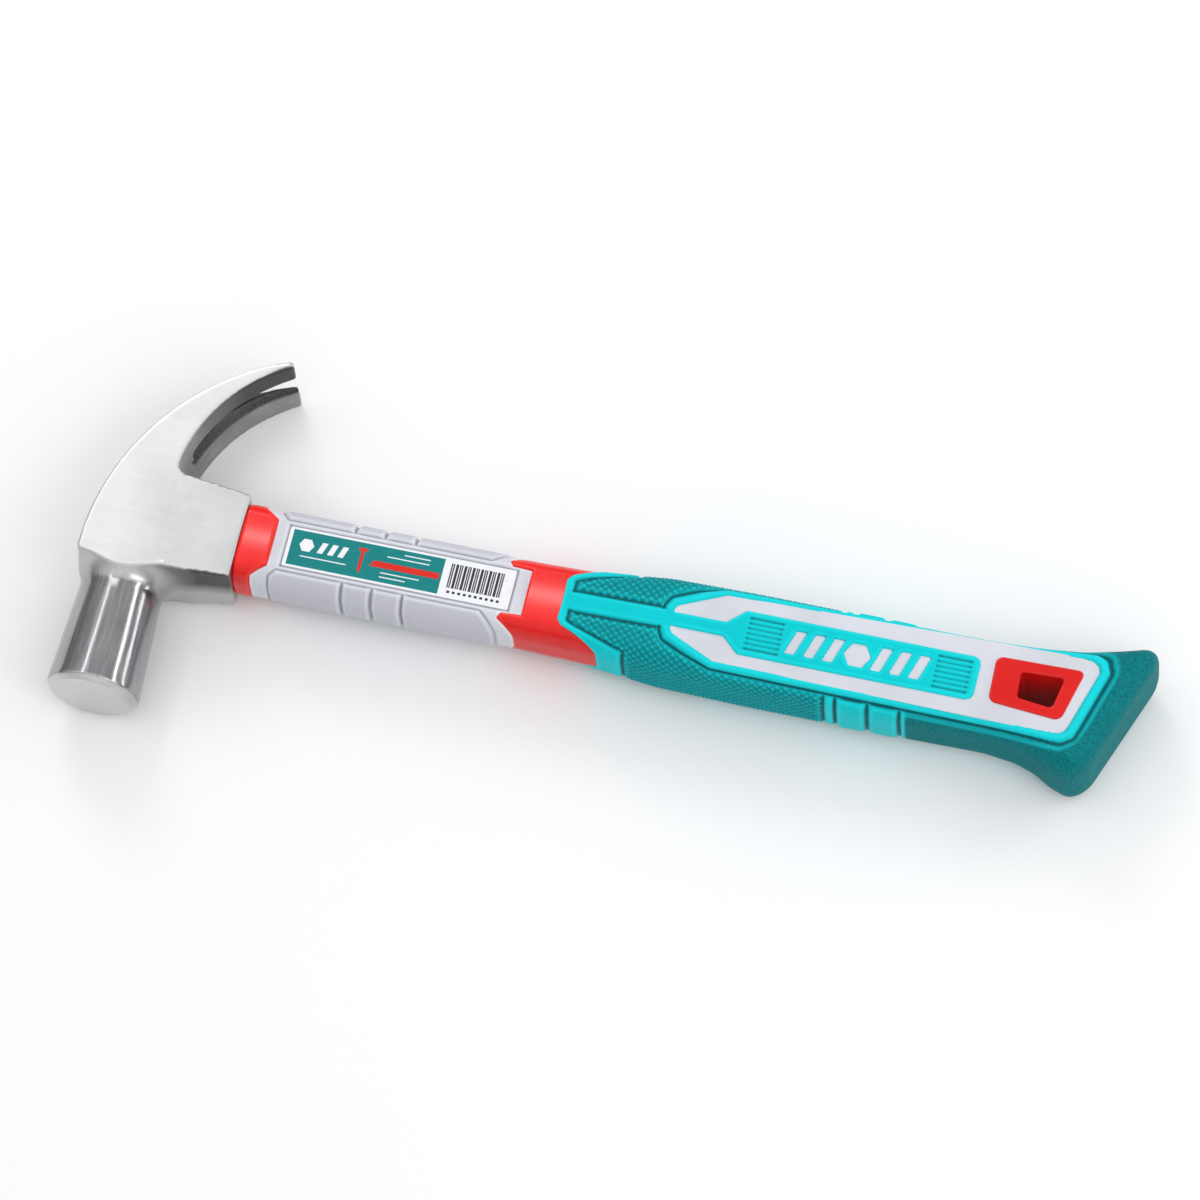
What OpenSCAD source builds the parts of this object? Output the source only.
// Claw hammer with a forged steel head and a moulded handle over a fibreglass shaft.
// The hammer lies on its side. X runs along the handle from the head to the butt,
// Y from the striking face to the claws, and Z points up out of the upper cheek.
// Every piece is drawn with X = 0 at the mouth of the head's socket and Y = Z = 0
// on the shaft's axis. place() then moves it over the middle of the footprint.

/* [Head] */
// Distance from the shaft's axis down to the striking face
face_drop = 57; // [54:0.5:60]
// Diameter of the striking face
face_d = 28.4; // [26:0.2:28.8]
// Diameter of the poll where it leaves the cheeks
neck_d = 25; // [22:0.5:26]
// Bevel round the striking face
face_bevel = 1.5; // [0.5:0.1:2.5]
// Distance from the socket's mouth back to the poll's axis
poll_back = 32.6; // [31:0.2:34]
// Radius of the blend between the poll and the cheeks
poll_blend = 7; // [5:0.5:8]
// Thickness of the head over its two cheeks
head_t = 29; // [29:0.5:32]
// Thickness of the head at the socket's mouth
mouth_t = 21.6; // [21.2:0.1:24]

/* [Claws] */
// Radius of the back of the head, from the cheeks to the tips of the claws
back_r = 77; // [75:0.5:79]
// Direction of the claws' tips, seen from the centre of the back's radius
tip_angle = 111.5; // [108:0.5:116]
// Radius of the hollow inner side of the claws
hollow_r = 49.6; // [48.8:0.2:50.4]
// Width of the nail slot at the tips
slot_tip_w = 6.4; // [5:0.2:7]
// Width of the nail slot at its root
slot_root_w = 2.4; // [1.5:0.1:3]
// Height of the nail slot's root above the shaft's axis
slot_root = 25; // [23:0.5:28]
// Width of the slot's bevel on the hollow side of the claws
bevel_w = 10.4; // [8:0.2:12]
// Depth of the slot's bevel
bevel_depth = 5; // [3:0.5:6]

/* [Shaft] */
// Width of the fibreglass shaft along Y
core_w = 18.6; // [17:0.2:19]
// Thickness of the fibreglass shaft along Z
core_t = 12; // [11:0.2:12.4]
// Width of the eye through the head
eye_w = 22.4; // [21:0.2:23]
// Thickness of the eye through the head
eye_t = 15.6; // [15:0.2:16]
// Length of the shaft inside the handle, from the socket's mouth
core_len = 226; // [205:1:227]

/* [Sleeve] */
// Width of the grey sleeve along Y
sleeve_w = 25.8; // [25.2:0.1:26]
// Thickness of the grey sleeve along Z
sleeve_t = 19.6; // [19.2:0.1:19.8]
// Depth of the recess that holds each label
recess_depth = 0.7; // [0.5:0.1:1]
// Length of each label
label_len = 70; // [60:1:71]
// Width of each label
label_w = 13; // [10:0.5:13.2]

/* [Grip] */
// Thickness of the grip over its middle
grip_t = 25.2; // [24.8:0.1:25.6]
// Height of the grip's inlays above their floor
inlay_depth = 1.9; // [1.4:0.1:2.2]
// Thickness of the inlay under the rubber bridge
inlay_base = 0.9; // [0.6:0.1:1]

/* [Hidden] */
$fn = 96;
overlap = 0.5;

// Head
back_c = [back_r - 46.6, -13.8];
hollow_c = [hollow_r - 23.6, 11.7];
tip = back_c + back_r * [cos(tip_angle), sin(tip_angle)];
cheek_low = -16;
mouth_low = -14.2;
mouth_top = 13.3;
throat = [-19.8, 18];
throat_r = 3.4;
taper_start = -22;

// Jacket, the red moulding that grips the shaft
jacket_w = 22;
jacket_t = 16;
jacket_end = 231;
collar_w = 26.4;
collar_t = 21;
band_w = 26.2;
band_t = 20;
wall_r = 6.5;
label_mid = 49.3;
label_t = 0.3;
recess_rim = 0.5;

// Edges that run across the handle between two pieces, from the axis outwards
outside = 40;
collar_edge = [[9.8, 0], [9.8, 7.5], [5.2, 11], [5.2, outside]];
sleeve_edge = [[89.2, 0], [89.2, 7.7], [82.9, 7.9], [81.8, 9.4], [88.2, 13.2], [88.2, outside]];
grip_edge = [[99.5, 0], [99.5, 6.6], [101.3, 8.6], [112.5, 13.7], [112.5, outside]];

// Hang hole and its red frame
frame_outline = [[230.9, 8.6], [257.9, 9.2], [253.6, -8], [231.3, -6.2]];
hole_outline = [[239.1, 5], [252.1, 5.6], [250.3, -4.4], [239.4, -3.2]];

// Inlay: a grey plate with two prongs, and a window filled by the rubber bridge
inlay_outline = [[133.8, 3], [134.6, 4.4], [148.6, 10.8], [259, 13.2], [262.2, 10.4],
    [256.4, -9.6], [253.4, -12], [148.6, -10.8], [134.6, -4.4], [133.8, -3]];
bridge_outline = [[133.7, -2.4], [149.8, -2.4], [155, -7.2], [226.9, -7.2], [226.9, 7.2],
    [155, 7.2], [149.8, 2.4], [133.7, 2.4]];
inlay_top = grip_t / 2 - 0.2;
inlay_floor = inlay_top - inlay_depth;

// Emblem in the window: slanted bars either side of a hexagon
emblem_mid = 190.3;
emblem_pitch = 6;
emblem_h = 7.6;
bar_w = 3;
bar_slant = 1.2;
hexagon_d = 9;

// Sections of the grip from its start to the butt:
// [x, lean of the section, lowest y, highest y, half thickness]
grip_half = grip_t / 2;
butt_half = head_t / 2;
grip_sections = [
    [99.5, 0, -13.3, 13.3, 10.4],
    [112, 0, -13.5, 13.5, 11.1],
    [120, 0, -14.3, 14.3, 11.8],
    [129, 0, -15.3, 15.3, grip_half - 0.2],
    [157, 0, -15.8, 15.8, grip_half],
    [190, 0, -15.8, 15.8, grip_half],
    [218, 0, -15.4, 15.4, grip_half],
    [232, 0.03, -15.2, 15.6, grip_half + 0.1],
    [243, 0.12, -16.3, 16.4, grip_half + 0.4],
    [252, 0.24, -18.4, 17.6, grip_half + 1],
    [260, 0.33, -21.4, 19.8, butt_half - 0.3],
    [265.5, 0.36, -23, 22.2, butt_half],
    [268.8, 0.36, -22.4, 22.2, butt_half - 1.4],
    [270.4, 0.36, -19.8, 19.8, butt_half - 4.5]];
corner_y = 6;
corner_z = 9;
corner_steps = 4;
butt = grip_sections[len(grip_sections) - 1];
butt_end = butt[0] + butt[1] * butt[3];
head_back = back_c.x - back_r;
left_end = min(head_back, -poll_back - face_d / 2);

function arc(c, r, from, to, steps) =
    [for (i = [0:steps]) let (a = from + (to - from) * i / steps) c + r * [cos(a), sin(a)]];
function mirrored(edge) = [for (i = [len(edge) - 1:-1:1]) [edge[i].x, -edge[i].y]];

// One corner of a grip section, as points [y, z]
function corner(s, quarter) =
    let (sy = quarter == 0 || quarter == 3 ? 1 : -1, sz = quarter < 2 ? 1 : -1,
        cy = sy > 0 ? s[3] - corner_y : s[2] + corner_y, rz = min(corner_z, s[4] - 0.5))
    [for (i = [0:corner_steps]) let (a = 90 * (quarter + i / corner_steps))
        [cy + corner_y * cos(a), sz * (s[4] - rz) + rz * sin(a)]];
function section_ring(s) =
    [for (quarter = [0:3]) for (p = corner(s, quarter)) [s[0] + s[1] * p.x, p.x, p.y]];

module place() {
    translate([-(butt_end + left_end) / 2, (face_drop - tip.y) / 2, head_t / 2]) children();
}

// A flat outline in X and Y made as thick as 2 * half, centred on the axis
module slab(half) {
    translate([0, 0, -half]) linear_extrude(2 * half) children();
}

// A cross-section in Y and Z drawn out along X
module along(from, to) {
    translate([from, 0, 0]) rotate([90, 0, 90]) linear_extrude(to - from) children();
}

module racetrack(w, t) {
    square([w - t, t], center = true);
    for (side = [-1, 1]) translate([side * (w - t) / 2, 0]) circle(d = t);
}

module rounded(w, t, r) {
    square([w - 2 * r, t], center = true);
    square([w, t - 2 * r], center = true);
    for (sy = [-1, 1], sz = [-1, 1]) translate([sy * (w / 2 - r), sz * (t / 2 - r)]) circle(r);
}

// The part of the handle on the head's side of an edge
module before(edge) {
    polygon(concat(mirrored(edge), edge, [[-1, outside], [-1, -outside]]));
}

module back_disc() {
    translate(back_c) circle(back_r, $fn = 360);
}

module claw_side() {
    difference() {
        intersection() {
            back_disc();
            translate([-60, 8]) square([80, 60]);
            translate(tip) rotate(tip_angle - 90) translate([-90, -45]) square([90, 90]);
        }
        translate(hollow_c) circle(hollow_r, $fn = 360);
    }
}

module block_side() {
    intersection() {
        back_disc();
        union() {
            polygon([[-60, cheek_low], [-13, cheek_low], [-8, -14.9], [0, mouth_low],
                [0, mouth_top], [throat.x, throat.y - throat_r], [-24, throat.y - throat_r],
                [-24, throat.y], [-60, throat.y]]);
            difference() {
                translate([-24, throat.y - throat_r - overlap]) square([24 + throat.x, throat_r + overlap]);
                translate(throat) circle(throat_r);
            }
        }
    }
}

// The cheeks thin down to the socket's mouth on both sides
module mouth_taper() {
    for (side = [0, 1]) mirror([0, 0, side]) rotate([90, 0, 0])
        translate([0, 0, -20]) linear_extrude(45)
            polygon([[taper_start, head_t / 2], [0.1, mouth_t / 2], [0.1, 20], [taper_start, 20]]);
}

// The poll is turned round its own axis, and its blend is cut flush with the cheeks
module poll() {
    blend_r = neck_d / 2 + poll_blend;
    blend_low = poll_blend - cheek_low;
    band_top = face_drop - face_bevel - 2;
    difference() {
        translate([-poll_back, 0, 0]) rotate([90, 0, 0]) rotate_extrude()
            polygon(concat([[0, -cheek_low - 1], [blend_r, -cheek_low - 1]],
                arc([blend_r, blend_low], poll_blend, 270, 180, 8),
                [[face_d / 2, band_top], [face_d / 2, face_drop - face_bevel],
                [face_d / 2 - face_bevel, face_drop], [0, face_drop]]));
        both_sides() translate([-70, -blend_low, head_t / 2]) cube([70, 20, 20]);
        translate([-80, -blend_low, -30]) cube([80 + head_back, 20, 60]);
    }
}

module nail_slot() {
    along(-60, 20) union() {
        polygon([[slot_root, -slot_root_w / 2], [60, -slot_tip_w / 2],
            [60, slot_tip_w / 2], [slot_root, slot_root_w / 2]]);
        translate([slot_root, 0]) circle(d = slot_root_w);
    }
}

// The bevel that opens the nail slot towards the handle, as a ring round the hollow's centre
module nail_bevel() {
    root_angle = 180 - asin((slot_root - hollow_c.y) / hollow_r);
    tip_side = 105;
    floor_w = slot_root_w / 2;
    slope = (bevel_w - floor_w) / 2 / bevel_depth;
    outer_w = bevel_w / 2 + 3 * slope;
    translate([hollow_c.x, hollow_c.y, 0]) rotate(tip_side)
        rotate_extrude(angle = root_angle - tip_side, $fn = 240)
            polygon([[hollow_r - 3, -outer_w], [hollow_r + bevel_depth, -floor_w / 2],
                [hollow_r + bevel_depth, floor_w / 2], [hollow_r - 3, outer_w]]);
}

module hammer_head() {
    color("silver") place() difference() {
        union() {
            slab(head_t / 2) claw_side();
            difference() {
                slab(head_t / 2) block_side();
                mouth_taper();
            }
            poll();
        }
        nail_slot();
        nail_bevel();
        along(-60, 1) racetrack(eye_w, eye_t);
    }
}

// The shaft and its resin are ground flush with the back of the head
module flush_with_back() {
    intersection() {
        children();
        slab(20) union() {
            translate(back_c) circle(back_r - 0.3, $fn = 360);
            translate([0, -20]) square([300, 40]);
        }
    }
}

module fibreglass_core() {
    color("khaki") place() flush_with_back() along(-60, core_len) racetrack(core_w, core_t);
}

module eye_resin() {
    color("peru") place() flush_with_back() difference() {
        along(-60, 0) racetrack(eye_w, eye_t);
        along(-61, 1) racetrack(core_w, core_t);
    }
}

module jacket_tube() {
    along(0, jacket_end) rounded(jacket_w, jacket_t, wall_r);
}

module red_jacket() {
    color("red") place() difference() {
        union() {
            jacket_tube();
            intersection() {
                along(0, 12) rounded(collar_w, collar_t, wall_r);
                slab(outside) before(collar_edge);
            }
            intersection() {
                along(80, 115) rounded(band_w, band_t, wall_r);
                slab(outside) difference() {
                    before(grip_edge);
                    before(sleeve_edge);
                }
            }
            slab(inlay_top) polygon(frame_outline);
        }
        along(-1, core_len) racetrack(core_w, core_t);
        slab(outside) polygon(hole_outline);
    }
}

// A box over the label on the upper side, from a height upwards
module over_label(from, to, rim) {
    translate([label_mid - label_len / 2 - rim, -label_w / 2 - rim, from])
        cube([label_len + 2 * rim, label_w + 2 * rim, to - from]);
}

module both_sides() {
    for (side = [0, 1]) mirror([0, 0, side]) children();
}

module shaft_sleeve() {
    floor_z = sleeve_t / 2 - recess_depth;
    color("lightgray") place() difference() {
        intersection() {
            along(0, 92) rounded(sleeve_w, sleeve_t, wall_r);
            slab(outside) difference() {
                before(sleeve_edge);
                before(collar_edge);
            }
        }
        jacket_tube();
        both_sides() over_label(floor_z, outside, recess_rim);
    }
}

module label() {
    floor_z = sleeve_t / 2 - recess_depth;
    over_label(floor_z, floor_z + label_t, 0);
}

module label_front() {
    color("teal") place() label();
}

module label_back() {
    color("teal") place() mirror([0, 0, 1]) label();
}

module emblem() {
    translate([emblem_mid, 0]) {
        circle(d = hexagon_d, $fn = 6);
        for (side = [-1, 1], i = [1:3]) translate([side * (emblem_pitch * i + 1), 0])
            polygon([[-bar_w / 2 - bar_slant, -emblem_h / 2], [bar_w / 2 - bar_slant, -emblem_h / 2],
                [bar_w / 2 + bar_slant, emblem_h / 2], [bar_w / 2 - bar_w + bar_slant, emblem_h / 2]]);
    }
}

// The rubber bridge over the inlay's base, with the emblem left open
module bridge(top) {
    bridge_floor = inlay_floor + inlay_base;
    translate([0, 0, bridge_floor]) linear_extrude(top - bridge_floor) difference() {
        polygon(bridge_outline);
        emblem();
    }
}

module inlay() {
    difference() {
        translate([0, 0, inlay_floor]) linear_extrude(inlay_depth) polygon(inlay_outline);
        bridge(outside);
        slab(outside) polygon(frame_outline);
    }
}

// The grip's outside as one skin through its sections
module grip_body() {
    rings = [for (s = grip_sections) section_ring(s)];
    n = len(rings[0]);
    last = (len(rings) - 1) * n;
    sides = [for (i = [0:len(rings) - 2], j = [0:n - 1])
        let (a = i * n + j, b = i * n + (j + 1) % n) each [[a, b, b + n], [a, b + n, a + n]]];
    start_cap = [for (j = [n - 1:-1:0]) j];
    end_cap = [for (j = [0:n - 1]) last + j];
    polyhedron([for (r = rings) each r], concat(sides, [start_cap], [end_cap]), convexity = 6);
}

module grip() {
    color("darkturquoise") place() difference() {
        grip_body();
        slab(outside) before(grip_edge);
        jacket_tube();
        slab(outside) polygon(frame_outline);
        both_sides() difference() {
            translate([0, 0, inlay_floor]) linear_extrude(outside) polygon(inlay_outline);
            bridge(outside + 20);
        }
    }
}

module inlay_front() {
    color("gainsboro") place() inlay();
}

module inlay_back() {
    color("gainsboro") place() mirror([0, 0, 1]) inlay();
}

hammer_head();
fibreglass_core();
eye_resin();
red_jacket();
shaft_sleeve();
label_front();
label_back();
grip();
inlay_front();
inlay_back();
